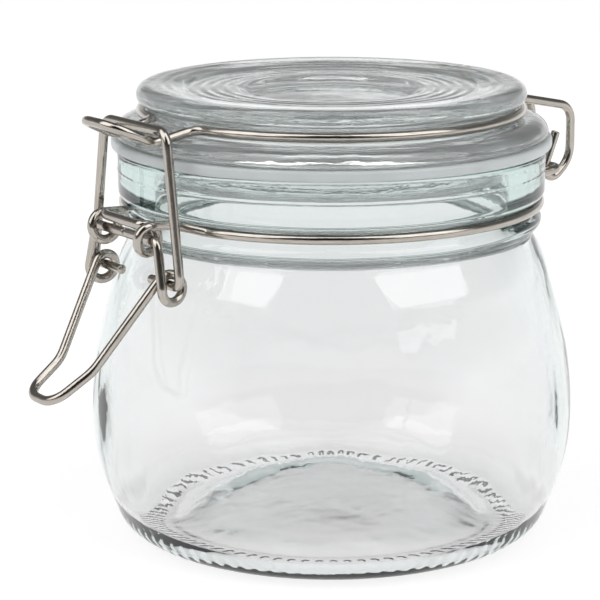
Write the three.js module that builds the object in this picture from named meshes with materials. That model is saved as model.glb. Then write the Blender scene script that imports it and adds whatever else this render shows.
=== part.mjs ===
// Lidded glass canister with a wire swing-top closure.
//
// The jar stands on its base with +Z up. The lever and bail are on the -Y side and the lid
// hinge is on the +Y side. Lengths are millimetres. While it is being built the jar's axis is
// the Z axis and the base ring is at z = 0. The last lines move the whole object so that the
// origin is under the middle of its bounding box.
import * as THREE from 'three';

// Wire
const WIRE_RADIUS = 1.0;
const WIRE_SIDES = 8;
const BEND_STEP = Math.PI / 10;
const HOOP_STEP = Math.PI / 34;
const COIL_STEP = Math.PI / 8;
const COIL_RADIUS = 2.8;
const COIL_PITCH = 2.2;

// Glass, measured from the jar's axis and base
const BELLY_RADIUS = 52.7;
const BELLY_HEIGHT = 26;
const BASE_RING_INNER = 33;
const BASE_RING_OUTER = 40.5;
const PUSH_UP = 2.8;
const FLOOR_TOP = 2.5;
const DOME_RADIUS = 25;
const DOME_HEIGHT = 5.4;
const MOUTH_RADIUS = 38.4;
const LAND_HEIGHT = 83.8;
const FLANGE_BOTTOM = 86.6;
const LID_TOP = 97.5;
const GLASS_SEGMENTS = 48;
const CURVE_STEPS = 4;

// Rubber ring between the jar's land and the lid
const RING_BOTTOM = 84.1;
const RING_TOP = 86.3;
const RING_INNER = 38.9;
const RING_OUTER = 47.4;

// Wire hoops round the neck and the lid. Their round part runs from rearX to frontX.
const NECK_HOOP = { radius: 45, z: 72.2, rearX: 12.8, frontX: 15 };
const LID_HOOP = { radius: 40.9, z: 91.94, rearX: 9.3, frontX: 12 };

// Latch and hinge places are a distance in front of or behind the jar's axis (reach) and a
// height (z). bend is the radius of the wire's bend there.
const PIVOT = { reach: 52.4, z: 70.9 };
const EYE = { reach: 50.1, z: 61.3 };

// Neck hoop at the latch: the lead into the pivot coil, and the cross bar between the coils
const NECK_COIL_X = 9.3;
const COIL_LEAD = { reach: 47.2, z: 73.4, bend: 3.4 };
const CROSS_BAR_START = { x: 6.6, reach: 53.1, z: 73.7 };
const CROSS_BAR = { x: 5.6, reach: 53.3, z: 73.7 };

// Lever: its link, and its finger loop
const LINK_TOP = { x: 11.6, bend: 1.6 };
const LINK_EYE_X = 14.0;
const LEVER_KNEE = { x: 6.4, reach: 64.9, z: 45.0, bend: 9 };
const LEVER_TIP = { x: 4.9, reach: 73.6, z: 39.4, bend: 4.2 };

// Bail: the tail and the foot, drawn up against the top of the lever's eye, and the bar
const BAIL_TAIL_X = 5.4;
const BAIL_FOOT = { x: 16.3, reach: 50.1, z: 61.9, bend: 1.8 };
const BAIL_BAR = { x: 11.6, reach: 49.8, z: 92.8, bend: 3.2 };

// Tongue of the lid hoop, which the bail's bar lies on
const TONGUE_ROOT = { x: 7.8, bend: 3.2 };
const TONGUE_VALLEY = { x: 7.4, reach: 49.9, z: 90.05, bend: 4 };
const TONGUE_TIP = { x: 6.4, reach: 59.3, z: 94.3, bend: 5.5 };

// Lid hinge behind the jar: the neck hoop's bar, and the lid hoop's two hooks round it
const HINGE = { x: 9.3, reach: 58.4, z: 73.6, bend: 2.2 };
const HINGE_ROOT_BEND = 1.8;
const HOOK_X = 6.7;
const HOOK_RADIUS = 2.4;
const HOOK_STEPS = 8;
const HOOK_TAIL_ANGLE = Math.PI * 0.9;
const HOOK_BACK_ANGLE = Math.PI * 1.72;
const HOOK_TAIL = { reach: 59.2, z: 81.6 };
const HOOK_BACK = { reach: 63.7, z: 74.9, bend: 7 };
const HOOK_SHOULDER = { reach: 63.7, z: 87.1, bend: 4 };
const HOOK_ROOT_BEND = 1.6;
const WIRE_JOINT_GAP = 0.4;

// Colours
const CLEAR_GLASS = { color: 0xd7e6e2, roughness: 0.05, metalness: 0, transparent: true, opacity: 0.35 };
const CLEAR_RUBBER = { color: 0xc9cfd0, roughness: 0.45, metalness: 0 };
const BRIGHT_WIRE = { color: 0xb9b4ac, roughness: 0.22, metalness: 1 };

const vec = (x, y, z) => new THREE.Vector3(x, y, z);
const front = (x, place) => vec(x, -place.reach, place.z);
const back = (x, place) => vec(x, place.reach, place.z);

// A path through given points, one extrusion step between each two.
class WirePath extends THREE.Curve {
  constructor(points) {
    super();
    this.points = points;
  }

  getPoint(t) {
    const place = t * (this.points.length - 1);
    const index = Math.min(Math.max(Math.floor(place), 0), this.points.length - 2);
    return this.points[index].clone().lerp(this.points[index + 1], place - index);
  }

  getUtoTmapping(u) {
    return u;
  }
}

// Points of an arc that rounds the corner between two straight stretches of wire.
function roundCorner(before, corner, after, radius) {
  const inward = before.clone().sub(corner).normalize();
  const outward = after.clone().sub(corner).normalize();
  const half = inward.angleTo(outward) / 2;
  const setback = radius / Math.tan(half);
  const middle = inward.clone().add(outward).normalize();
  const centre = corner.clone().addScaledVector(middle, radius / Math.sin(half));
  const start = corner.clone().addScaledVector(inward, setback).sub(centre);
  const normal = new THREE.Vector3().crossVectors(outward, inward).normalize();
  const turn = Math.PI - 2 * half;
  const steps = Math.max(2, Math.ceil(turn / BEND_STEP));
  const arc = [];
  for (let step = 0; step <= steps; step += 1) {
    arc.push(start.clone().applyAxisAngle(normal, (turn * step) / steps).add(centre));
  }
  return arc;
}

// A bent wire's points: straight stretches with a rounded corner at each entry that has a
// radius. An entry with no radius is used as it is.
function bendWire(entries) {
  const points = [];
  entries.forEach((entry, index) => {
    if (entry.radius) {
      points.push(...roundCorner(entries[index - 1].at, entry.at, entries[index + 1].at, entry.radius));
    } else {
      points.push(entry.at);
    }
  });
  return points.filter((point, index) => index === 0 || point.distanceTo(points[index - 1]) > 0.05);
}

const place = (at, radius) => ({ at, radius });
const asIs = (points) => points.map((point) => place(point, 0));
const mirror = (points) => points.map((point) => vec(-point.x, point.y, point.z));

// The round part of half a hoop on its +X side, from behind the jar to in front of it.
function hoopArc(hoop) {
  const start = Math.acos(hoop.rearX / hoop.radius);
  const end = -Math.acos(hoop.frontX / hoop.radius);
  const steps = Math.ceil((start - end) / HOOP_STEP);
  const arc = [];
  for (let step = 0; step <= steps; step += 1) {
    const angle = start + ((end - start) * step) / steps;
    arc.push(vec(hoop.radius * Math.cos(angle), hoop.radius * Math.sin(angle), hoop.z));
  }
  return arc;
}

// A coil round an axis along X. Angles are in the plane of reach and height: 0 points away
// from the jar and a quarter turn points up.
function coil(centre, startAngle, endAngle, startX, endX) {
  const steps = Math.ceil(Math.abs(endAngle - startAngle) / COIL_STEP);
  const turns = [];
  for (let step = 0; step <= steps; step += 1) {
    const share = step / steps;
    const angle = startAngle + (endAngle - startAngle) * share;
    turns.push(front(startX + (endX - startX) * share, {
      reach: centre.reach + COIL_RADIUS * Math.cos(angle),
      z: centre.z + COIL_RADIUS * Math.sin(angle),
    }));
  }
  return turns;
}

function material(look) {
  return new THREE.MeshStandardMaterial(look);
}

function wire(name, points) {
  const section = [];
  for (let side = 0; side < WIRE_SIDES; side += 1) {
    const angle = (2 * Math.PI * side) / WIRE_SIDES;
    section.push(new THREE.Vector2(WIRE_RADIUS * Math.cos(angle), WIRE_RADIUS * Math.sin(angle)));
  }
  const geometry = new THREE.ExtrudeGeometry(new THREE.Shape(section), {
    steps: points.length - 1,
    extrudePath: new WirePath(points),
  });
  const mesh = new THREE.Mesh(geometry, material(BRIGHT_WIRE));
  mesh.name = name;
  return mesh;
}

// A turned solid from an outline of radius and height.
function turned(name, outline, look) {
  const geometry = new THREE.LatheGeometry(outline, GLASS_SEGMENTS);
  geometry.rotateX(Math.PI / 2);
  const mesh = new THREE.Mesh(geometry, material(look));
  mesh.name = name;
  return mesh;
}

// An outline's points, each curve divided into the same few steps.
function outlinePoints(path) {
  const points = path.getPoints(CURVE_STEPS);
  return points.filter((point, index) => index === 0 || point.distanceTo(points[index - 1]) > 0.01);
}

// The jar's outline: out along its underside, up the outside, over the land, down the inside.
function jarOutline() {
  const path = new THREE.Path();
  path.moveTo(0, PUSH_UP);
  path.lineTo(20, PUSH_UP);
  path.bezierCurveTo(27, PUSH_UP, 30, 0.6, BASE_RING_INNER, 0);
  path.lineTo(BASE_RING_OUTER, 0);
  path.bezierCurveTo(44.5, 0, 46.9, 1.6, 48.0, 5.2);
  path.bezierCurveTo(49.0, 8.4, BELLY_RADIUS, 14, BELLY_RADIUS, BELLY_HEIGHT);
  path.bezierCurveTo(BELLY_RADIUS, 40, 48.8, 50, 47.0, 57.4);
  path.bezierCurveTo(46.2, 60.6, 44.6, 63.0, 43.4, 65.6);
  path.bezierCurveTo(43.6, 66.8, 45.4, 67.2, 45.4, 68.6);
  path.bezierCurveTo(45.4, 70.0, 43.7, 70.4, 43.7, 71.6);
  path.lineTo(43.7, 72.8);
  path.quadraticCurveTo(45.9, 73.4, 46.1, 75.0);
  path.lineTo(46.1, LAND_HEIGHT - 1.6);
  path.quadraticCurveTo(46.1, LAND_HEIGHT, 44.6, LAND_HEIGHT);
  path.lineTo(MOUTH_RADIUS + 1.0, LAND_HEIGHT);
  path.quadraticCurveTo(MOUTH_RADIUS, LAND_HEIGHT, MOUTH_RADIUS, LAND_HEIGHT - 1.0);
  path.lineTo(MOUTH_RADIUS, 70);
  path.bezierCurveTo(MOUTH_RADIUS, 66, 42.0, 62, 43.6, 56.5);
  path.bezierCurveTo(45.4, 49.5, 49.6, 40, 49.6, BELLY_HEIGHT);
  path.bezierCurveTo(49.6, 14, 47.6, FLOOR_TOP, 41, FLOOR_TOP);
  path.lineTo(36, FLOOR_TOP);
  path.bezierCurveTo(32, FLOOR_TOP, 30, DOME_HEIGHT - 0.3, DOME_RADIUS, DOME_HEIGHT);
  path.lineTo(0, DOME_HEIGHT + 0.3);
  return outlinePoints(path);
}

// The lid's outline: the underside and its spigot, the shoulder, the hoop's groove, the rim
// and the round well in the top.
function lidOutline() {
  const path = new THREE.Path();
  path.moveTo(0, 90.4);
  path.lineTo(28, 90.4);
  path.quadraticCurveTo(34, 90.4, 34.2, 84);
  path.lineTo(34.6, 79.0);
  path.quadraticCurveTo(35.8, 77.6, 37.0, 79.0);
  path.lineTo(37.6, FLANGE_BOTTOM);
  path.lineTo(45.8, FLANGE_BOTTOM);
  path.quadraticCurveTo(46.6, FLANGE_BOTTOM, 46.6, FLANGE_BOTTOM + 0.8);
  path.bezierCurveTo(46.4, 89.2, 44.8, 90.1, 42.6, 90.2);
  path.lineTo(40.4, 90.2);
  path.quadraticCurveTo(39.6, 90.3, 39.6, 91.1);
  path.lineTo(39.6, 92.6);
  path.quadraticCurveTo(39.6, 93.3, 40.4, 93.4);
  path.bezierCurveTo(42.6, 93.7, 42.4, 97.3, 39.6, LID_TOP);
  path.quadraticCurveTo(34, 97.3, 31, 96.3);
  path.lineTo(20.5, 96.2);
  path.bezierCurveTo(19.0, 96.2, 18.6, 94.4, 16.8, 94.3);
  path.lineTo(0, 94.6);
  return outlinePoints(path);
}

// The rubber ring's outline, which closes on itself.
function ringOutline() {
  const path = new THREE.Path();
  const edge = 0.8;
  path.moveTo(RING_INNER, RING_BOTTOM);
  path.lineTo(RING_OUTER - edge, RING_BOTTOM);
  path.quadraticCurveTo(RING_OUTER, RING_BOTTOM, RING_OUTER, RING_BOTTOM + edge);
  path.lineTo(RING_OUTER, RING_TOP - edge);
  path.quadraticCurveTo(RING_OUTER, RING_TOP, RING_OUTER - edge, RING_TOP);
  path.lineTo(RING_INNER, RING_TOP);
  path.lineTo(RING_INNER, RING_BOTTOM);
  return outlinePoints(path);
}

// Neck hoop: from the middle of the hinge bar, round the neck, into the lever's pivot coil and
// on to the middle of the cross bar. The other half is its mirror image.
function neckHoopPoints() {
  const hingeRoot = { reach: Math.sqrt(NECK_HOOP.radius ** 2 - HINGE.x ** 2), z: NECK_HOOP.z };
  const turns = coil(PIVOT, Math.PI / 2, -Math.PI * 1.5, NECK_COIL_X, NECK_COIL_X - COIL_PITCH);
  const half = bendWire([
    place(back(WIRE_JOINT_GAP / 2, HINGE), 0),
    place(back(HINGE.x, HINGE), HINGE.bend),
    place(back(HINGE.x, hingeRoot), HINGE_ROOT_BEND),
    ...asIs(hoopArc(NECK_HOOP)),
    place(front(NECK_COIL_X, COIL_LEAD), COIL_LEAD.bend),
    ...asIs(turns),
    place(front(CROSS_BAR_START.x, CROSS_BAR_START), 0),
    place(front(CROSS_BAR.x, CROSS_BAR), 0),
  ]);
  return [...half, ...mirror(half).reverse()];
}

// The bend of a hook round the hinge bar, from its tail to its shank.
function hookBend() {
  const bend = [];
  for (let step = 0; step <= HOOK_STEPS; step += 1) {
    const angle = HOOK_TAIL_ANGLE + ((HOOK_BACK_ANGLE - HOOK_TAIL_ANGLE) * step) / HOOK_STEPS;
    bend.push(back(HOOK_X, {
      reach: HINGE.reach + HOOK_RADIUS * Math.cos(angle),
      z: HINGE.z + HOOK_RADIUS * Math.sin(angle),
    }));
  }
  return bend;
}

// Lid hoop: from a hook's cut end, round the hinge bar, over the lid's shoulder, round the
// groove and out along the tongue. The other half is its mirror image.
function lidHoopPoints() {
  const rearRoot = { reach: Math.sqrt(LID_HOOP.radius ** 2 - HOOK_X ** 2), z: LID_HOOP.z };
  const tongueRoot = { reach: Math.sqrt(LID_HOOP.radius ** 2 - TONGUE_ROOT.x ** 2), z: LID_HOOP.z };
  const half = bendWire([
    place(back(HOOK_X, HOOK_TAIL), 0),
    ...asIs(hookBend()),
    place(back(HOOK_X, HOOK_BACK), HOOK_BACK.bend),
    place(back(HOOK_X, HOOK_SHOULDER), HOOK_SHOULDER.bend),
    place(back(HOOK_X, rearRoot), HOOK_ROOT_BEND),
    ...asIs(hoopArc(LID_HOOP)),
    place(front(TONGUE_ROOT.x, tongueRoot), TONGUE_ROOT.bend),
    place(front(TONGUE_VALLEY.x, TONGUE_VALLEY), TONGUE_VALLEY.bend),
    place(front(TONGUE_TIP.x, TONGUE_TIP), TONGUE_TIP.bend),
    place(front(0, TONGUE_TIP), 0),
  ]);
  return [...half, ...mirror(half.slice(0, -1)).reverse()];
}

// Lever: from its inner end, through the neck coil, down the link, round the bail's eye, and
// out to the finger loop. The other half is its mirror image.
function leverPoints() {
  const linkSpan = Math.hypot(PIVOT.reach - EYE.reach, PIVOT.z - EYE.z);
  const alongLink = Math.atan2(PIVOT.z - EYE.z, PIVOT.reach - EYE.reach);
  const linkSide = alongLink - Math.acos(COIL_RADIUS / linkSpan);
  const armSpan = Math.hypot(LEVER_KNEE.z - EYE.z, LEVER_KNEE.reach - EYE.reach);
  const alongArm = Math.atan2(LEVER_KNEE.z - EYE.z, LEVER_KNEE.reach - EYE.reach);
  const armSide = alongArm + Math.acos(COIL_RADIUS / armSpan);
  const turns = coil(EYE, linkSide, armSide - 2 * Math.PI, LINK_EYE_X, LINK_EYE_X - COIL_PITCH);
  const half = bendWire([
    place(front(WIRE_JOINT_GAP / 2, PIVOT), 0),
    place(front(LINK_TOP.x, PIVOT), LINK_TOP.bend),
    ...asIs(turns),
    place(front(LEVER_KNEE.x, LEVER_KNEE), LEVER_KNEE.bend),
    place(front(LEVER_TIP.x, LEVER_TIP), LEVER_TIP.bend),
    place(front(0, LEVER_TIP), 0),
  ]);
  return [...half, ...mirror(half.slice(0, -1)).reverse()];
}

// Bail: from an inner tail, through the lever's eye, up the arm and along the bar.
function bailPoints() {
  const half = bendWire([
    place(front(BAIL_TAIL_X, BAIL_FOOT), 0),
    place(front(BAIL_FOOT.x, BAIL_FOOT), BAIL_FOOT.bend),
    place(front(BAIL_BAR.x, BAIL_BAR), BAIL_BAR.bend),
    place(front(0, BAIL_BAR), 0),
  ]);
  return [...half, ...mirror(half.slice(0, -1)).reverse()];
}

const canister = new THREE.Group();
canister.add(turned('glass_jar', jarOutline(), CLEAR_GLASS));
canister.add(turned('glass_lid', lidOutline(), CLEAR_GLASS));
canister.add(turned('sealing_ring', ringOutline(), CLEAR_RUBBER));
canister.add(wire('neck_hoop', neckHoopPoints()));
canister.add(wire('lid_hoop', lidHoopPoints()));
canister.add(wire('closing_lever', leverPoints()));
canister.add(wire('locking_bail', bailPoints()));

// Put the origin under the middle of the bounding box.
const bounds = new THREE.Box3().setFromObject(canister);
const middle = bounds.getCenter(vec(0, 0, 0));
canister.position.set(-middle.x, -middle.y, -bounds.min.z);

export default canister;
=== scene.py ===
"""Blender 4.5 scene: a squat glass canister with a wire swing-top closure, on a pale floor.

Outlines and wire paths are in millimetres, measured from the jar's axis and from the underside of
its base, and become metres in the row frame where each mesh is made. Reach is the distance from
the jar's axis towards the latch (-Y) or towards the hinge (+Y).
"""
import math

import bpy
from mathutils import Matrix, Vector, noise


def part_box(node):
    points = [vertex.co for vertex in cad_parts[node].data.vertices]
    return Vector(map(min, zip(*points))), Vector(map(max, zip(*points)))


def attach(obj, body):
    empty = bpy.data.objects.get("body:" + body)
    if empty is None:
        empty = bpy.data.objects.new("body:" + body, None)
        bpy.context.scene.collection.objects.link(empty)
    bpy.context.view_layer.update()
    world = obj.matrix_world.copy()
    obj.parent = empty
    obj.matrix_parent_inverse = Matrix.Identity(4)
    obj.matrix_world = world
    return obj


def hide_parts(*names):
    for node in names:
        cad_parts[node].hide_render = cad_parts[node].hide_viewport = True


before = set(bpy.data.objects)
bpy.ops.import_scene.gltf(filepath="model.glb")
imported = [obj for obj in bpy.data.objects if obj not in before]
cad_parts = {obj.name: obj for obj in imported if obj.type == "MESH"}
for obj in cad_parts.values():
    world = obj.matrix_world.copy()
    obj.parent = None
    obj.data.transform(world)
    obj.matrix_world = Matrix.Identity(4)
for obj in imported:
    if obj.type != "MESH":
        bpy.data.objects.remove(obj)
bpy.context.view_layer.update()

MM = 0.001
jar_low, jar_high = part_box("glass_jar")
AXIS_Y = (jar_low[1] + jar_high[1]) / 2 / MM

# Wire
WIRE_RADIUS = 1.0
WIRE_SIDES = 28
CUT_EDGE = 0.22
PATH_SPACING = 0.3
BEND_STEP = math.pi / 40
HOOP_STEP = math.pi / 150
COIL_STEP = math.pi / 30
COIL_RADIUS = 2.8
COIL_PITCH = 2.2

# Glass
BELLY_RADIUS = 52.7
BELLY_HEIGHT = 26
BASE_RING_INNER = 33
BASE_RING_OUTER = 40.5
PUSH_UP = 2.8
FLOOR_TOP = 2.5
DOME_RADIUS = 25
DOME_HEIGHT = 5.4
MOUTH_RADIUS = 38.4
LAND_HEIGHT = 83.8
FLANGE_BOTTOM = 86.6
LID_TOP = 97.5
RIB_COUNT = 84
RIB_DEPTH = 0.38
MOULD_LINE = 79.5
GLASS_SEGMENTS = RIB_COUNT * 8
LID_SEGMENTS = 240
CURVE_STEPS = 14

# Rubber ring
RING_BOTTOM = 84.1
RING_TOP = 86.3
RING_INNER = 38.9
RING_OUTER = 47.4

# Hoops: radius, height, and the X where the round part starts behind and ends in front
NECK_HOOP = (45, 72.2, 12.8, 15)
LID_HOOP = (40.9, 91.94, 9.3, 12)

# Latch and hinge places are reach and height. Each half width is its distance from the middle
# plane, and each bend is the radius of the wire's bend there.
PIVOT = (52.4, 70.9)
EYE = (50.1, 61.3)

# Neck hoop at the latch: the lead into the pivot coil, and the cross bar between the coils
NECK_COIL_X = 9.3
COIL_LEAD, COIL_LEAD_BEND = (47.2, 73.4), 3.4
CROSS_BAR_START_X, CROSS_BAR_START = 6.6, (53.1, 73.7)
CROSS_BAR_X, CROSS_BAR = 5.6, (53.3, 73.7)

# Lever: its link, and its finger loop
LINK_TOP_X, LINK_TOP_BEND = 11.6, 1.6
LINK_EYE_X = 14.0
LEVER_KNEE_X, LEVER_KNEE, LEVER_KNEE_BEND = 6.4, (64.9, 45.0), 9
LEVER_TIP_X, LEVER_TIP, LEVER_TIP_BEND = 4.9, (73.6, 39.4), 4.2

# Bail
BAIL_TAIL_X = 5.4
BAIL_FOOT_X, BAIL_FOOT, BAIL_FOOT_BEND = 16.3, (50.1, 61.9), 1.8
BAIL_BAR_X, BAIL_BAR, BAIL_BAR_BEND = 11.6, (49.8, 92.8), 3.2

# Tongue of the lid hoop
TONGUE_ROOT_X, TONGUE_ROOT_BEND = 7.8, 3.2
TONGUE_VALLEY_X, TONGUE_VALLEY, TONGUE_VALLEY_BEND = 7.4, (49.9, 90.05), 4
TONGUE_TIP_X, TONGUE_TIP, TONGUE_TIP_BEND = 6.4, (59.3, 94.3), 5.5

# Lid hinge
HINGE_X, HINGE, HINGE_BEND = 9.3, (58.4, 73.6), 2.2
HINGE_ROOT_BEND = 1.8
HOOK_X = 6.7
HOOK_RADIUS = 2.4
HOOK_STEPS = 30
HOOK_TAIL_ANGLE = math.pi * 0.9
HOOK_BACK_ANGLE = math.pi * 1.72
HOOK_TAIL = (59.2, 81.6)
HOOK_BACK, HOOK_BACK_BEND = (63.7, 74.9), 7
HOOK_SHOULDER, HOOK_SHOULDER_BEND = (63.7, 87.1), 4
HOOK_ROOT_BEND = 1.6
WIRE_JOINT_GAP = 0.4

# The floor is a hair under the glass, so that the two faces don't coincide
FLOOR_Z = -0.0004
FLOOR_HALF = 4.0
FLOOR_GLOW = 0.81

# Background and softboxes: degrees from the camera's direction, degrees up, metres and watts
BACKGROUND_STRENGTH = 1.12
SOFTBOX_AZIMUTH = 57
SOFTBOX_ELEVATION = 50
SOFTBOX_DISTANCE = 2.4
SOFTBOX_SIZE = (1.9, 2.8)
SOFTBOX_POWER = 34
LIGHT_TARGET_HEIGHT = 0.05

# Camera, from the jar's axis
CAMERA_DISTANCE = 0.49037
CAMERA_HEIGHT = 0.16728
CAMERA_AZIMUTH = math.radians(53)
CAMERA_PITCH = math.radians(13.54)
CAMERA_LENS = 138
CAMERA_SHIFT = -0.0525


# ---------------------------------------------------------------- outlines of turned pieces

class Outline:
    """Points of a flat outline, radius and height, built from lines and curves."""

    def __init__(self, radius, height):
        self.points = [Vector((radius, height))]

    def line_to(self, radius, height, steps=4):
        start = self.points[-1].copy()
        end = Vector((radius, height))
        for step in range(1, steps + 1):
            self.points.append(start.lerp(end, step / steps))

    def curve_to(self, *corners, steps=CURVE_STEPS):
        """A Bezier curve with one or two control points and an end point."""
        controls = [self.points[-1].copy()] + [Vector(corner) for corner in corners]
        for step in range(1, steps + 1):
            row = controls
            while len(row) > 1:
                row = [a.lerp(b, step / steps) for a, b in zip(row, row[1:])]
            self.points.append(row[0])


def jar_outline():
    """Out along the underside, up the outside, over the land and down the inside."""
    path = Outline(0, PUSH_UP)
    path.line_to(20, PUSH_UP)
    path.curve_to((27, PUSH_UP), (30, 0.6), (BASE_RING_INNER, 0))
    path.line_to(BASE_RING_OUTER - 3, 0)
    path.line_to(BASE_RING_OUTER, 0, 8)
    path.curve_to((44.5, 0), (46.9, 1.6), (48.0, 5.2), steps=22)
    path.curve_to((49.0, 8.4), (BELLY_RADIUS, 14), (BELLY_RADIUS, BELLY_HEIGHT))
    path.curve_to((BELLY_RADIUS, 40), (48.8, 50), (47.0, 57.4), steps=18)
    path.curve_to((46.2, 60.6), (44.6, 63.0), (43.4, 65.6))
    path.curve_to((43.6, 66.8), (45.4, 67.2), (45.4, 68.6), steps=8)
    path.curve_to((45.4, 70.0), (43.7, 70.4), (43.7, 71.6), steps=8)
    path.line_to(43.7, 72.8, 2)
    path.curve_to((45.9, 73.4), (46.1, 75.0), steps=8)
    path.line_to(46.1, MOULD_LINE - 0.8, 6)
    path.line_to(46.1, MOULD_LINE + 0.8, 16)
    path.line_to(46.1, LAND_HEIGHT - 1.6, 4)
    path.curve_to((46.1, LAND_HEIGHT), (44.6, LAND_HEIGHT), steps=8)
    path.line_to(MOUTH_RADIUS + 1.0, LAND_HEIGHT, 5)
    path.curve_to((MOUTH_RADIUS, LAND_HEIGHT), (MOUTH_RADIUS, LAND_HEIGHT - 1.0), steps=6)
    path.line_to(MOUTH_RADIUS, 70, 8)
    path.curve_to((MOUTH_RADIUS, 66), (42.0, 62), (43.6, 56.5))
    path.curve_to((45.4, 49.5), (49.6, 40), (49.6, BELLY_HEIGHT), steps=18)
    path.curve_to((49.6, 14), (47.6, FLOOR_TOP), (41, FLOOR_TOP), steps=20)
    path.line_to(36, FLOOR_TOP, 3)
    path.curve_to((32, FLOOR_TOP), (30, DOME_HEIGHT - 0.3), (DOME_RADIUS, DOME_HEIGHT))
    path.line_to(0, DOME_HEIGHT + 0.3, 8)
    return path.points


def lid_outline():
    """The underside and its spigot, the shoulder, the hoop's groove, the rim and the round well."""
    path = Outline(0, 90.4)
    path.line_to(28, 90.4, 40)
    path.curve_to((34, 90.4), (34.2, 84))
    path.line_to(34.6, 79.0)
    path.curve_to((35.8, 77.6), (37.0, 79.0), steps=8)
    path.line_to(37.6, FLANGE_BOTTOM)
    path.line_to(45.8, FLANGE_BOTTOM, 6)
    path.curve_to((46.6, FLANGE_BOTTOM), (46.6, FLANGE_BOTTOM + 0.8), steps=8)
    path.curve_to((46.4, 89.2), (44.8, 90.1), (42.6, 90.2))
    path.line_to(40.4, 90.2)
    path.curve_to((39.6, 90.3), (39.6, 91.1), steps=6)
    path.line_to(39.6, 92.6, 2)
    path.curve_to((39.6, 93.3), (40.4, 93.4), steps=6)
    path.curve_to((42.6, 93.7), (42.4, 97.3), (39.6, LID_TOP))
    path.curve_to((34, 97.3), (31, 96.3))
    path.line_to(20.5, 96.2, 30)
    path.curve_to((19.0, 96.2), (18.6, 94.4), (16.8, 94.3))
    path.line_to(0, 94.6, 20)
    return path.points


def ring_outline():
    """A rounded band that closes on itself."""
    edge = 0.8
    path = Outline(RING_INNER + 0.3, RING_BOTTOM)
    path.line_to(RING_OUTER - edge, RING_BOTTOM, 6)
    path.curve_to((RING_OUTER, RING_BOTTOM), (RING_OUTER, RING_BOTTOM + edge), steps=8)
    path.line_to(RING_OUTER, RING_TOP - edge, 6)
    path.curve_to((RING_OUTER, RING_TOP), (RING_OUTER - edge, RING_TOP), steps=8)
    path.line_to(RING_INNER + 0.3, RING_TOP, 6)
    path.curve_to((RING_INNER, RING_TOP), (RING_INNER, RING_TOP - 0.3), steps=3)
    path.line_to(RING_INNER, RING_BOTTOM + 0.3, 3)
    path.curve_to((RING_INNER, RING_BOTTOM), (RING_INNER + 0.3, RING_BOTTOM), steps=3)
    return path.points[:-1]


def smooth_step(low, high, value):
    share = min(max((value - low) / (high - low), 0), 1)
    return share * share * (3 - 2 * share)


def jar_relief(radius, height, angle, inside):
    """How far a point of the jar moves, in radius and height: ribs under the base edge, the
    ragged mould line round the neck, and uneven inner walls."""
    place = Vector((math.cos(angle) * radius, math.sin(angle) * radius, height))
    if inside:
        return (0.32 * noise.noise(place / 17), 0.22 * noise.noise(place / 17 + Vector((7, 3, 1))))
    if height > MOULD_LINE - 1:
        crest = math.exp(-((height - MOULD_LINE) / 0.22) ** 2) if radius > MOUTH_RADIUS + 1 else 0
        return (crest * (0.05 + 0.14 * abs(noise.noise(place * 0.9))), 0)
    fade = smooth_step(37.4, 38.4, radius) * (1 - smooth_step(40.6, 42.6, radius)) * (height < 2)
    valley = (0.5 - 0.5 * math.cos(RIB_COUNT * angle)) ** 2 * RIB_DEPTH * fade
    return (0, valley)


def lid_relief(radius, height, angle, inside):
    """Pressed rings on both faces of the lid, and its slightly uneven underside."""
    place = Vector((math.cos(angle) * radius, math.sin(angle) * radius, height)) / 11
    if inside and radius < 34:
        rings = 0.16 * math.sin(radius * 1.9) * smooth_step(15, 21, radius)
        return (0, rings + 0.3 * noise.noise(place))
    if height > 94 and radius < 38:
        return (0, 0.07 * math.sin(radius * 2.6) * smooth_step(20, 24, radius))
    return (0, 0)


def no_relief(radius, height, angle, inside):
    return (0, 0)


def turned(name, outline, segments, relief, inside_from=None, inside_to=None, closed=False):
    """A solid of revolution round the jar's axis. Outline entries inside_from to inside_to are
    its inner faces. A closed outline has no ends on the axis."""
    vertices = []
    faces = []
    rings = []
    for index, (radius, height) in enumerate(outline):
        inside = inside_from is not None and inside_from <= index <= inside_to
        if radius < 1e-6:
            rings.append([len(vertices)])
            vertices.append((0, AXIS_Y * MM, height * MM))
            continue
        ring = []
        for segment in range(segments):
            angle = 2 * math.pi * segment / segments
            out, up = relief(radius, height, angle, inside)
            reach = radius + out
            ring.append(len(vertices))
            vertices.append((
                reach * math.cos(angle) * MM,
                (reach * math.sin(angle) + AXIS_Y) * MM,
                (height + up) * MM,
            ))
        rings.append(ring)
    pairs = list(zip(rings, rings[1:]))
    if closed:
        pairs.append((rings[-1], rings[0]))
    for low, high in pairs:
        for segment in range(segments):
            after = (segment + 1) % segments
            if len(low) == 1:
                faces.append((low[0], high[after], high[segment]))
            elif len(high) == 1:
                faces.append((low[segment], low[after], high[0]))
            else:
                faces.append((low[segment], low[after], high[after], high[segment]))
    return smooth_object(name, vertices, faces)


def smooth_object(name, vertices, faces):
    mesh = bpy.data.meshes.new(name)
    mesh.from_pydata(vertices, [], faces)
    mesh.validate()
    mesh.polygons.foreach_set("use_smooth", [True] * len(mesh.polygons))
    mesh.update()
    piece = bpy.data.objects.new(name, mesh)
    bpy.context.scene.collection.objects.link(piece)
    return piece


# ---------------------------------------------------------------- wire paths

def front(x, place):
    return Vector((x, -place[0], place[1]))


def back(x, place):
    return Vector((x, place[0], place[1]))


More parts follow.
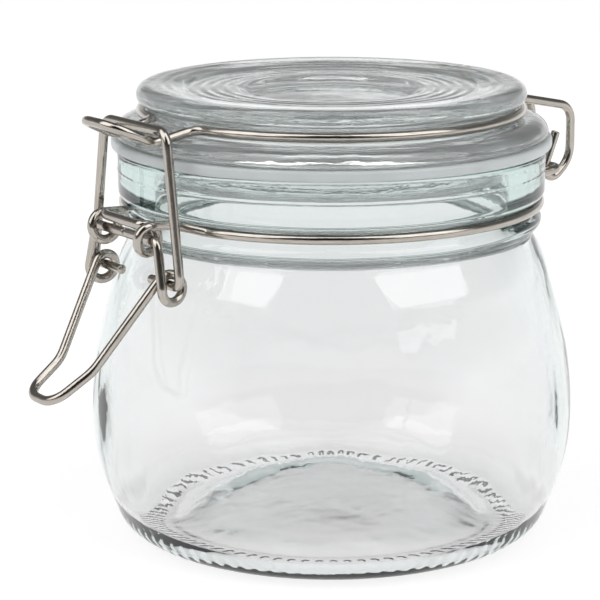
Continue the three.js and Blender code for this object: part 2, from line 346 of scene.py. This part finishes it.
def round_corner(before, corner, after, radius):
    """Points of an arc that rounds the corner between two straight stretches."""
    inward = (before - corner).normalized()
    outward = (after - corner).normalized()
    half = inward.angle(outward) / 2
    centre = corner + (inward + outward).normalized() * (radius / math.sin(half))
    start = corner + inward * (radius / math.tan(half)) - centre
    normal = outward.cross(inward).normalized()
    turn = math.pi - 2 * half
    steps = max(2, math.ceil(turn / BEND_STEP))
    turns = [Matrix.Rotation(turn * step / steps, 3, normal) for step in range(steps + 1)]
    return [centre + rotation @ start for rotation in turns]


def bend_wire(entries):
    """A bent wire's points. Each entry is a place and the radius of the bend there, or 0."""
    points = []
    for index, (at, radius) in enumerate(entries):
        if radius:
            points += round_corner(entries[index - 1][0], at, entries[index + 1][0], radius)
        else:
            points.append(at)
    kept = points[:1]
    for point in points[1:]:
        if (point - kept[-1]).length > 0.03:
            kept.append(point)
    return kept


def as_is(points):
    return [(point, 0) for point in points]


def both_halves(half, shared_end):
    """A wire from one half and its mirror image. A shared end is used only once."""
    other = half[:-1] if shared_end else half
    return half + [Vector((-point.x, point.y, point.z)) for point in reversed(other)]


def hoop_arc(hoop):
    """The round part of half a hoop on its +X side, from the hinge side to the latch side."""
    radius, height, rear_x, front_x = hoop
    start = math.acos(rear_x / radius)
    end = -math.acos(front_x / radius)
    steps = math.ceil((start - end) / HOOP_STEP)
    arc = []
    for step in range(steps + 1):
        angle = start + (end - start) * step / steps
        arc.append(Vector((radius * math.cos(angle), radius * math.sin(angle), height)))
    return arc


def coil(centre, start_angle, end_angle, start_x, end_x):
    """A coil round an axis along X. Angle 0 points away from the jar, a quarter turn points up."""
    steps = math.ceil(abs(end_angle - start_angle) / COIL_STEP)
    turns = []
    for step in range(steps + 1):
        share = step / steps
        angle = start_angle + (end_angle - start_angle) * share
        reach = centre[0] + COIL_RADIUS * math.cos(angle)
        height = centre[1] + COIL_RADIUS * math.sin(angle)
        turns.append(front(start_x + (end_x - start_x) * share, (reach, height)))
    return turns


def neck_hoop_path():
    """Hinge bar, round the neck, the lever's pivot coil, and the cross bar between the coils."""
    root = (math.sqrt(NECK_HOOP[0] ** 2 - HINGE_X ** 2), NECK_HOOP[1])
    turns = coil(PIVOT, math.pi / 2, -math.pi * 1.5, NECK_COIL_X, NECK_COIL_X - COIL_PITCH)
    half = bend_wire([
        (back(WIRE_JOINT_GAP / 2, HINGE), 0),
        (back(HINGE_X, HINGE), HINGE_BEND),
        (back(HINGE_X, root), HINGE_ROOT_BEND),
        *as_is(hoop_arc(NECK_HOOP)),
        (front(NECK_COIL_X, COIL_LEAD), COIL_LEAD_BEND),
        *as_is(turns),
        (front(CROSS_BAR_START_X, CROSS_BAR_START), 0),
        (front(CROSS_BAR_X, CROSS_BAR), 0),
    ])
    return both_halves(half, False)


def hook_bend():
    """The bend of a hook round the hinge bar, from its tail to its shank."""
    bend = []
    for step in range(HOOK_STEPS + 1):
        angle = HOOK_TAIL_ANGLE + (HOOK_BACK_ANGLE - HOOK_TAIL_ANGLE) * step / HOOK_STEPS
        reach = HINGE[0] + HOOK_RADIUS * math.cos(angle)
        bend.append(back(HOOK_X, (reach, HINGE[1] + HOOK_RADIUS * math.sin(angle))))
    return bend


def lid_hoop_path():
    """A cut end, the hook round the hinge bar, the groove of the lid, and the tongue."""
    rear_root = (math.sqrt(LID_HOOP[0] ** 2 - HOOK_X ** 2), LID_HOOP[1])
    tongue_root = (math.sqrt(LID_HOOP[0] ** 2 - TONGUE_ROOT_X ** 2), LID_HOOP[1])
    half = bend_wire([
        (back(HOOK_X, HOOK_TAIL), 0),
        *as_is(hook_bend()),
        (back(HOOK_X, HOOK_BACK), HOOK_BACK_BEND),
        (back(HOOK_X, HOOK_SHOULDER), HOOK_SHOULDER_BEND),
        (back(HOOK_X, rear_root), HOOK_ROOT_BEND),
        *as_is(hoop_arc(LID_HOOP)),
        (front(TONGUE_ROOT_X, tongue_root), TONGUE_ROOT_BEND),
        (front(TONGUE_VALLEY_X, TONGUE_VALLEY), TONGUE_VALLEY_BEND),
        (front(TONGUE_TIP_X, TONGUE_TIP), TONGUE_TIP_BEND),
        (front(0, TONGUE_TIP), 0),
    ])
    return both_halves(half, True)


def lever_path():
    """An inner end, the pivot in the neck coil, the link, the bail's eye, and the finger loop."""
    link_span = math.hypot(PIVOT[0] - EYE[0], PIVOT[1] - EYE[1])
    along_link = math.atan2(PIVOT[1] - EYE[1], PIVOT[0] - EYE[0])
    link_side = along_link - math.acos(COIL_RADIUS / link_span)
    arm_span = math.hypot(LEVER_KNEE[0] - EYE[0], LEVER_KNEE[1] - EYE[1])
    along_arm = math.atan2(LEVER_KNEE[1] - EYE[1], LEVER_KNEE[0] - EYE[0])
    arm_side = along_arm + math.acos(COIL_RADIUS / arm_span)
    turns = coil(EYE, link_side, arm_side - 2 * math.pi, LINK_EYE_X, LINK_EYE_X - COIL_PITCH)
    half = bend_wire([
        (front(WIRE_JOINT_GAP / 2, PIVOT), 0),
        (front(LINK_TOP_X, PIVOT), LINK_TOP_BEND),
        *as_is(turns),
        (front(LEVER_KNEE_X, LEVER_KNEE), LEVER_KNEE_BEND),
        (front(LEVER_TIP_X, LEVER_TIP), LEVER_TIP_BEND),
        (front(0, LEVER_TIP), 0),
    ])
    return both_halves(half, True)


def bail_path():
    """An inner tail, the foot in the lever's eye, the arm, and half of the bar."""
    half = bend_wire([
        (front(BAIL_TAIL_X, BAIL_FOOT), 0),
        (front(BAIL_FOOT_X, BAIL_FOOT), BAIL_FOOT_BEND),
        (front(BAIL_BAR_X, BAIL_BAR), BAIL_BAR_BEND),
        (front(0, BAIL_BAR), 0),
    ])
    return both_halves(half, True)


def even_points(points, spacing):
    """The same path with evenly spaced points."""
    lengths = [(b - a).length for a, b in zip(points, points[1:])]
    count = max(2, round(sum(lengths) / spacing))
    step = sum(lengths) / count
    placed = [points[0].copy()]
    index = 0
    passed = 0.0
    for number in range(1, count):
        target = number * step
        while passed + lengths[index] < target:
            passed += lengths[index]
            index += 1
        placed.append(points[index].lerp(points[index + 1], (target - passed) / lengths[index]))
    placed.append(points[-1].copy())
    return placed


def relaxed(points, times):
    """The path with each point drawn towards its neighbours, which softens small kinks."""
    for _ in range(times):
        inner = [(a + 2 * b + c) / 4 for a, b, c in zip(points, points[1:], points[2:])]
        points = [points[0], *inner, points[-1]]
    return points


def wire(name, path):
    """A round wire along a path, with slightly broken edges at its two cut ends."""
    points = relaxed(even_points(path, PATH_SPACING), 3)
    tangents = [(b - a).normalized() for a, b in zip(points, points[1:])]
    middle = [(a + b).normalized() for a, b in zip(tangents, tangents[1:])]
    tangents = [tangents[0], *middle, tangents[-1]]
    side = tangents[0].orthogonal().normalized()
    stations = []
    for point, tangent in zip(points, tangents):
        side = (side - tangent * side.dot(tangent)).normalized()
        stations.append((point, tangent, side.copy(), WIRE_RADIUS))
    first, last = stations[0], stations[-1]
    start_cap = [(first[0], first[1], first[2], WIRE_RADIUS - CUT_EDGE)]
    start_edge = [(first[0] + first[1] * CUT_EDGE, first[1], first[2], WIRE_RADIUS)]
    end_edge = [(last[0] - last[1] * CUT_EDGE, last[1], last[2], WIRE_RADIUS)]
    end_cap = [(last[0], last[1], last[2], WIRE_RADIUS - CUT_EDGE)]
    stations = start_cap + start_edge + stations[1:-1] + end_edge + end_cap
    vertices = []
    lines = []
    travelled = 0.0
    for index, (point, tangent, across, radius) in enumerate(stations):
        if index:
            travelled += (point - stations[index - 1][0]).length
        up = tangent.cross(across)
        for corner in range(WIRE_SIDES):
            angle = 2 * math.pi * corner / WIRE_SIDES
            place = point + (across * math.cos(angle) + up * math.sin(angle)) * radius
            vertices.append((place.x * MM, (place.y + AXIS_Y) * MM, place.z * MM))
            lines.append((travelled, math.cos(angle), math.sin(angle)))
    faces = []
    for index in range(len(stations) - 1):
        low = index * WIRE_SIDES
        high = low + WIRE_SIDES
        for corner in range(WIRE_SIDES):
            after = (corner + 1) % WIRE_SIDES
            faces.append((low + corner, low + after, high + after, high + corner))
    faces.append(tuple(reversed(range(WIRE_SIDES))))
    faces.append(tuple(range(len(vertices) - WIRE_SIDES, len(vertices))))
    piece = smooth_object(name, vertices, faces)
    attribute = piece.data.attributes.new("wire_lines", "FLOAT_VECTOR", "POINT")
    attribute.data.foreach_set("vector", [value for line in lines for value in line])
    return piece


# ---------------------------------------------------------------- materials

def new_material(name):
    """A material, its node tree, and its Principled shader."""
    material = bpy.data.materials.new(name)
    material.use_nodes = True
    tree = material.node_tree
    return material, tree, tree.nodes["Principled BSDF"]


def noise_texture(tree, source, scale, detail, roughness=0.5, stretch=(1, 1, 1)):
    """Noise read at a source socket, stretched along the axes."""
    mapping = tree.nodes.new("ShaderNodeMapping")
    mapping.inputs["Scale"].default_value = stretch
    texture = tree.nodes.new("ShaderNodeTexNoise")
    texture.inputs["Scale"].default_value = scale
    texture.inputs["Detail"].default_value = detail
    texture.inputs["Roughness"].default_value = roughness
    tree.links.new(source, mapping.inputs["Vector"])
    tree.links.new(mapping.outputs["Vector"], texture.inputs["Vector"])
    return texture.outputs["Fac"]


def object_place(tree):
    return tree.nodes.new("ShaderNodeTexCoord").outputs["Object"]


def ramp(tree, source, stops):
    """A colour ramp with stops of position and colour."""
    node = tree.nodes.new("ShaderNodeValToRGB")
    elements = node.color_ramp.elements
    while len(elements) < len(stops):
        elements.new(0.5)
    for element, (position, colour) in zip(elements, stops):
        element.position = position
        element.color = (*colour, 1)
    tree.links.new(source, node.inputs["Fac"])
    return node.outputs["Color"]


def grey_range(tree, source, low, high):
    """The source's 0 to 1 as a value between low and high."""
    node = tree.nodes.new("ShaderNodeMapRange")
    node.inputs["From Min"].default_value = 0.3
    node.inputs["From Max"].default_value = 0.7
    node.inputs["To Min"].default_value = low
    node.inputs["To Max"].default_value = high
    tree.links.new(source, node.inputs["Value"])
    return node.outputs["Result"]


def bump(tree, shader, sources):
    """Stacked bumps on a shader, each a height socket, a strength and a depth in metres."""
    previous = None
    for height, strength, distance in sources:
        node = tree.nodes.new("ShaderNodeBump")
        node.inputs["Strength"].default_value = strength
        node.inputs["Distance"].default_value = distance
        tree.links.new(height, node.inputs["Height"])
        if previous is not None:
            tree.links.new(previous, node.inputs["Normal"])
        previous = node.outputs["Normal"]
    tree.links.new(previous, shader.inputs["Normal"])


def glass_material(name, tint, density, waves, peel):
    """Soda glass that turns green in thick parts. Waves and peel are each a noise's scale and its
    stretch upward, then the strength and depth of its bump."""
    material, tree, shader = new_material(name)
    shader.inputs["Base Color"].default_value = (*tint, 1)
    shader.inputs["Roughness"].default_value = 0.0
    shader.inputs["IOR"].default_value = 1.5
    shader.inputs["Transmission Weight"].default_value = 1.0
    place = object_place(tree)
    bumps = []
    for scale, stretch, strength, depth in (waves, peel):
        height = noise_texture(tree, place, scale, 2, stretch=(1, 1, stretch))
        bumps.append((height, strength, depth))
    bump(tree, shader, bumps)
    absorption = tree.nodes.new("ShaderNodeVolumeAbsorption")
    absorption.inputs["Color"].default_value = (0.35, 0.66, 0.60, 1)
    absorption.inputs["Density"].default_value = density
    tree.links.new(absorption.outputs["Volume"], tree.nodes["Material Output"].inputs["Volume"])
    return material, shader


def jar_glass():
    """Blown glass with slow waves and a very fine orange peel."""
    waves = (70, 0.5, 0.22, 0.0012)
    peel = (420, 1, 0.10, 0.00012)
    material, _ = glass_material("jar_glass", (0.975, 0.944, 0.953), 34, waves, peel)
    return material


def lid_glass():
    """Pressed glass: fine streaks round it, and a skin that is not quite clear."""
    streaks = (60, 3, 0.25, 0.0010)
    skin = (260, 6, 0.20, 0.0002)
    material, shader = glass_material("lid_glass", (0.99, 1.0, 1.0), 4, streaks, skin)
    shader.inputs["Roughness"].default_value = 0.04
    shader.inputs["Transmission Weight"].default_value = 0.9
    return material


def clear_rubber():
    """Translucent silicone: milky, soft sheen, with faint moulding marks round it."""
    material, tree, shader = new_material("clear_rubber")
    place = object_place(tree)
    cloud = noise_texture(tree, place, 120, 3)
    colour = ramp(tree, cloud, [(0.3, (0.72, 0.76, 0.76)), (0.7, (0.80, 0.84, 0.84))])
    tree.links.new(colour, shader.inputs["Base Color"])
    rough = noise_texture(tree, place, 300, 3)
    tree.links.new(grey_range(tree, rough, 0.28, 0.42), shader.inputs["Roughness"])
    shader.inputs["IOR"].default_value = 1.42
    shader.inputs["Transmission Weight"].default_value = 0.3
    shader.inputs["Subsurface Weight"].default_value = 0.4
    shader.inputs["Subsurface Radius"].default_value = (0.004, 0.004, 0.004)
    lines = noise_texture(tree, place, 260, 2, stretch=(0.15, 0.15, 4))
    bump(tree, shader, [(lines, 0.3, 0.0002)])
    return material


def steel_wire():
    """Bright drawn wire: fine lines along its length, slight warm tone, and soft wear."""
    material, tree, shader = new_material("steel_wire")
    shader.inputs["Metallic"].default_value = 1.0
    attribute = tree.nodes.new("ShaderNodeAttribute")
    attribute.attribute_name = "wire_lines"
    along = attribute.outputs["Vector"]
    drawn = noise_texture(tree, along, 9, 3, 0.6, stretch=(0.03, 1, 1))
    marks = noise_texture(tree, along, 3, 4, 0.6, stretch=(0.25, 1, 1))
    colour = ramp(tree, drawn, [(0.3, (0.35, 0.32, 0.285)), (0.7, (0.54, 0.505, 0.46))])
    tree.links.new(colour, shader.inputs["Base Color"])
    tree.links.new(grey_range(tree, marks, 0.07, 0.18), shader.inputs["Roughness"])
    bump(tree, shader, [(drawn, 0.35, 0.00004), (marks, 0.2, 0.00006)])
    return material


def floor_material():
    """A matte sheet with very faint tone changes. It glows, which keeps it white far from the
    lights and leaves only a weak shadow."""
    material, tree, shader = new_material("pale_floor")
    cloud = noise_texture(tree, object_place(tree), 6, 3)
    colour = ramp(tree, cloud, [(0.3, (0.29, 0.29, 0.29)), (0.7, (0.31, 0.31, 0.31))])
    tree.links.new(colour, shader.inputs["Base Color"])
    shader.inputs["Roughness"].default_value = 0.6
    shader.inputs["Specular IOR Level"].default_value = 0.2
    shader.inputs["Emission Color"].default_value = (1, 1, 1, 1)
    shader.inputs["Emission Strength"].default_value = FLOOR_GLOW
    return material


# ---------------------------------------------------------------- studio

def make_camera():
    data = bpy.data.cameras.new("camera")
    data.sensor_width = 36
    data.lens = CAMERA_LENS
    data.shift_x = CAMERA_SHIFT
    data.clip_start = 0.01
    camera = bpy.data.objects.new("camera", data)
    camera.location = (
        CAMERA_DISTANCE * math.sin(CAMERA_AZIMUTH),
        AXIS_Y * MM - CAMERA_DISTANCE * math.cos(CAMERA_AZIMUTH),
        CAMERA_HEIGHT,
    )
    camera.rotation_euler = (math.pi / 2 - CAMERA_PITCH, 0, CAMERA_AZIMUTH)
    bpy.context.scene.collection.objects.link(camera)
    bpy.context.scene.camera = camera


def make_floor():
    signs = [(-1, -1), (1, -1), (1, 1), (-1, 1)]
    corners = [(x * FLOOR_HALF, y * FLOOR_HALF, FLOOR_Z) for x, y in signs]
    mesh = bpy.data.meshes.new("floor")
    mesh.from_pydata(corners, [], [(0, 1, 2, 3)])
    floor = bpy.data.objects.new("floor", mesh)
    floor.data.materials.append(floor_material())
    bpy.context.scene.collection.objects.link(floor)


def make_world():
    """A studio with a bright low background, dim overhead and dim round the camera."""
    world = bpy.data.worlds.new("studio")
    world.use_nodes = True
    bpy.context.scene.world = world
    tree = world.node_tree
    direction = tree.nodes.new("ShaderNodeTexCoord").outputs["Generated"]
    height = tree.nodes.new("ShaderNodeSeparateXYZ")
    tree.links.new(direction, height.inputs["Vector"])
    lift = ramp(tree, height.outputs["Z"], [
        (0.08, (1.0, 1.0, 1.0)),
        (0.24, (0.3, 0.3, 0.3)),
        (0.50, (0.14, 0.14, 0.14)),
    ])
    toward_camera = tree.nodes.new("ShaderNodeVectorMath")
    toward_camera.operation = "DOT_PRODUCT"
    heading = (math.sin(CAMERA_AZIMUTH), -math.cos(CAMERA_AZIMUTH), 0)
    toward_camera.inputs[1].default_value = heading
    tree.links.new(direction, toward_camera.inputs[0])
    side = ramp(tree, toward_camera.outputs["Value"], [
        (0.30, (1.0, 1.0, 1.0)),
        (0.70, (0.16, 0.16, 0.16)),
    ])
    product = tree.nodes.new("ShaderNodeVectorMath")
    product.operation = "MULTIPLY"
    tree.links.new(lift, product.inputs[0])
    tree.links.new(side, product.inputs[1])
    background = tree.nodes["Background"]
    tree.links.new(product.outputs["Vector"], background.inputs["Color"])
    background.inputs["Strength"].default_value = BACKGROUND_STRENGTH


def softbox(name, azimuth):
    """A soft rectangular light aimed at the middle of the jar. Azimuth is measured from the
    camera's direction, to the right as the camera sees it."""
    data = bpy.data.lights.new(name, "AREA")
    data.shape = "RECTANGLE"
    data.size, data.size_y = SOFTBOX_SIZE
    data.energy = SOFTBOX_POWER
    light = bpy.data.objects.new(name, data)
    turn = CAMERA_AZIMUTH + math.radians(azimuth)
    lift = math.radians(SOFTBOX_ELEVATION)
    target = Vector((0, AXIS_Y * MM, LIGHT_TARGET_HEIGHT))
    away = Vector((
        math.sin(turn) * math.cos(lift),
        -math.cos(turn) * math.cos(lift),
        math.sin(lift),
    ))
    light.location = target + away * SOFTBOX_DISTANCE
    light.rotation_euler = away.to_track_quat("Z", "Y").to_euler()
    bpy.context.scene.collection.objects.link(light)


def make_lights():
    softbox("left_softbox", -SOFTBOX_AZIMUTH)
    softbox("right_softbox", SOFTBOX_AZIMUTH)


# ---------------------------------------------------------------- build

def inner_range(outline, first, last):
    """Indices of the outline's entries nearest to two places, as a range of inner faces."""
    nearest = [
        min(range(len(outline)), key=lambda index: (outline[index] - Vector(place)).length)
        for place in (first, last)
    ]
    return min(nearest), max(nearest)


def add_piece(piece, node, body, material):
    piece.data.materials.append(material)
    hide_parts(node)
    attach(piece, body)


def make_canister():
    blown = jar_glass()
    pressed = lid_glass()
    rubber = clear_rubber()
    steel = steel_wire()
    jar_line = jar_outline()
    inner = inner_range(jar_line, (MOUTH_RADIUS, 68), (0, DOME_HEIGHT + 0.3))
    jar = turned("jar", jar_line, GLASS_SEGMENTS, jar_relief, *inner)
    lid_line = lid_outline()
    under = inner_range(lid_line, (0, 90.4), (34.2, 84))
    lid = turned("lid", lid_line, LID_SEGMENTS, lid_relief, *under)
    ring = turned("rubber_ring", ring_outline(), LID_SEGMENTS, no_relief, closed=True)
    add_piece(jar, "glass_jar", "jar", blown)
    add_piece(lid, "glass_lid", "lid", pressed)
    add_piece(ring, "sealing_ring", "lid", rubber)
    add_piece(wire("neck_wire", neck_hoop_path()), "neck_hoop", "jar", steel)
    add_piece(wire("lid_wire", lid_hoop_path()), "lid_hoop", "lid", steel)
    add_piece(wire("lever", lever_path()), "closing_lever", "lever", steel)
    add_piece(wire("bail", bail_path()), "locking_bail", "bail", steel)


make_camera()
make_canister()
make_floor()
make_world()
make_lights()
bpy.context.scene.view_settings.view_transform = "Standard"
